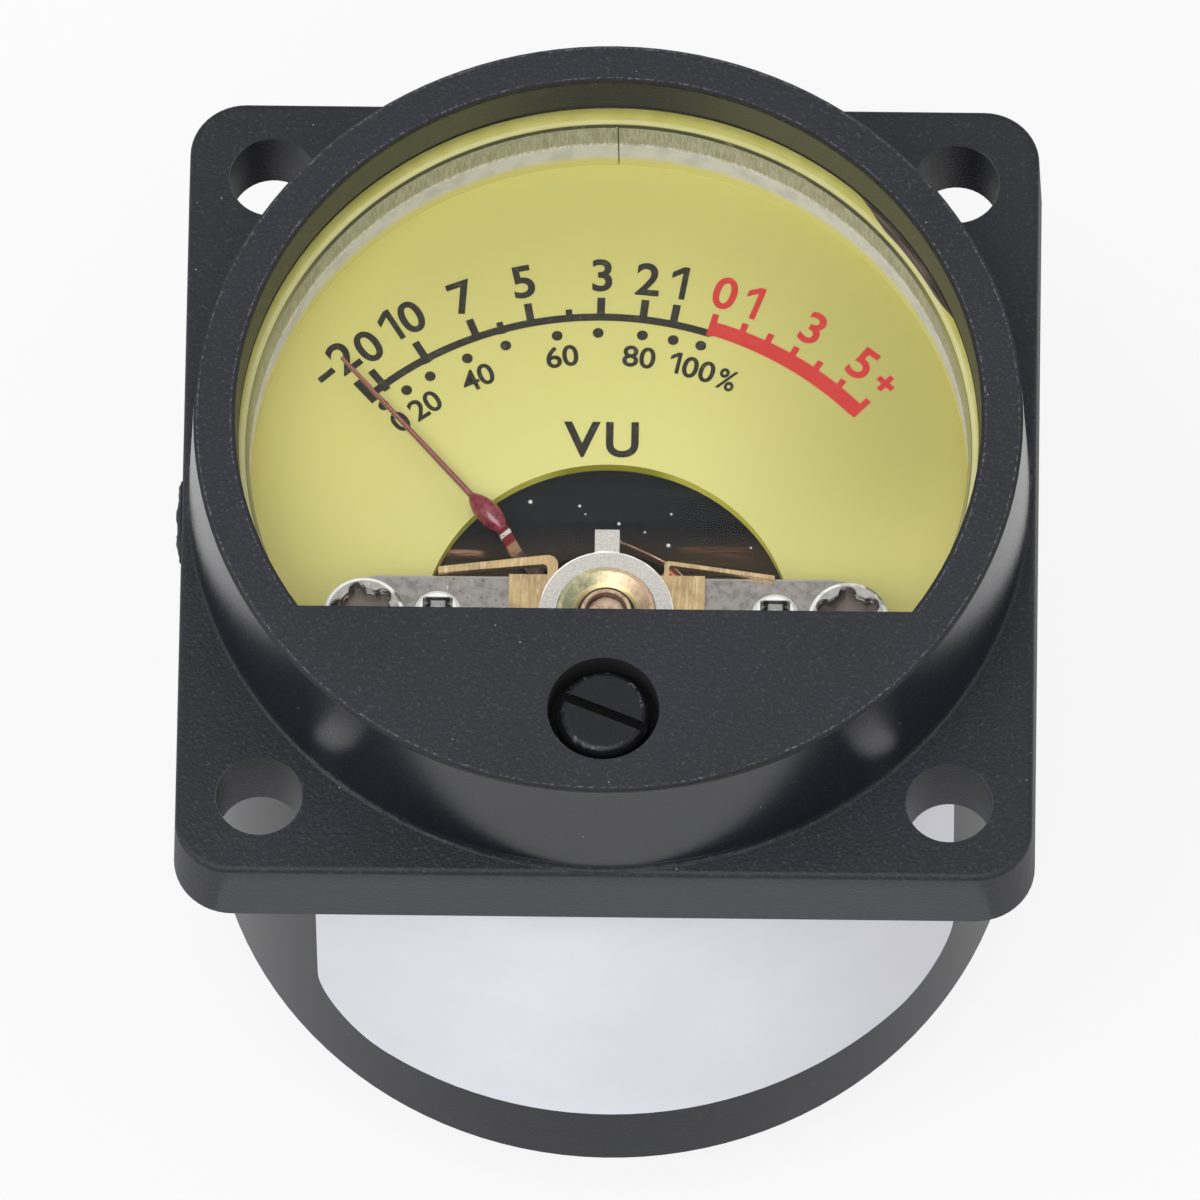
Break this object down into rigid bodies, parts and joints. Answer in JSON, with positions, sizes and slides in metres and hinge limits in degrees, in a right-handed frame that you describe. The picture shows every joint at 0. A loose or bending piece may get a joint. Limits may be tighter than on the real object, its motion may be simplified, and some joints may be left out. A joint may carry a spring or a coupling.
{
  "type": "analog VU meter",
  "caption": "Round-window analog VU meter with a square four-hole flange, an apron with a zero screw, and a moving-coil movement in a cup-shaped barrel.",
  "frame": {"origin": "centre of the flange's rear face, which seats on the panel, on the axis of the four-hole pattern and of the barrel", "axes": "+Z out of the face along the barrel's axis, +Y towards the top of the dial, +X to the dial's right"},
  "size_m": [0.035, 0.035, 0.041],
  "materials": {
    "black_moulding": "satin, fine spark-eroded texture",
    "clear_window": "polished clear sheet",
    "yellow_translucent": "translucent yellow",
    "bright_strip": "brushed strip",
    "dial_face": "printed satin yellow",
    "label_paper": "coated paper",
    "dark_steel": "brushed, blackened",
    "plated_steel": "bright plating with fine scratches",
    "soft_iron": "machined",
    "magnet": "ground",
    "brass": "rolled, satin",
    "satin_aluminium": "stamped, satin",
    "copper_wire": "enamelled copper wire",
    "spring_bronze": "thin bronze strip",
    "red_lacquer": "dipped lacquer",
    "tinned_brass": "tinned",
    "board_laminate": "paper laminate",
    "diode_glass": "glass body",
    "lead_insulation": "insulated wire",
    "lamp_glass": "clear glass"
  },
  "bodies": {
    "case": {"front_cover": "black_moulding", "housing": "black_moulding", "lens": "clear_window", "lens_spacer_ring": "yellow_translucent", "reflector_strip": "bright_strip", "dial_plate": "dial_face", "rating_label": "label_paper", "frame_plate": "dark_steel", "frame_pillars": "plated_steel", "rear_screws": "plated_steel", "yoke_ring": "soft_iron", "yoke_screws": "plated_steel", "core_magnet": "magnet", "core_carriers": "brass", "bridge_bar": "plated_steel", "bridge_spacers": "brass", "bridge_screws": "plated_steel", "bar_rivets": "plated_steel", "stop_plate": "brass", "lever_bush": "brass", "top_jewel_screw": "brass", "lower_bridge": "plated_steel", "lower_bridge_screws": "plated_steel", "lower_jewel_screw": "brass", "meter_lugs": "tinned_brass", "lamp_lugs": "tinned_brass", "rectifier_board": "board_laminate", "rectifier_diodes": "diode_glass", "coil_leads": "lead_insulation", "lamp_leads": "lead_insulation", "lamp_bulb": "lamp_glass", "lamp_caps": "tinned_brass", "lamp_bracket": "satin_aluminium"},
    "zero_screw": {"zero_screw": "black_moulding"},
    "zero_lever": {"zero_lever": "satin_aluminium"},
    "movement": {"coil_former": "satin_aluminium", "coil_winding": "copper_wire", "top_pivot": "plated_steel", "bottom_pivot": "plated_steel", "top_hairspring": "spring_bronze", "bottom_hairspring": "spring_bronze", "pointer_arm": "brass", "balance_weight": "brass", "pointer": "red_lacquer"}
  },
  "joints": [
    {"name": "pointer_swing", "type": "hinge", "parent": "case", "child": "movement", "pos_m": [0, -0.00726, 0.004], "axis": [0, 0, -1], "range_deg": [-2, 85], "stiffness_Nm_per_rad": 0.000006},
    {"name": "zero_screw_turn", "type": "hinge", "parent": "case", "child": "zero_screw", "pos_m": [0, -0.01315, 0.0099], "axis": [0, 0, 1], "range_deg": [-40, 40]},
    {"name": "zero_lever_turn", "type": "hinge", "parent": "case", "child": "zero_lever", "pos_m": [0, -0.00726, 0.0072], "axis": [0, 0, 1], "range_deg": [-6.6, 6.6]}
  ],
  "couplings": [
    {"joint": "zero_lever_turn", "follows": "zero_screw_turn", "ratio": -0.163}
  ]
}
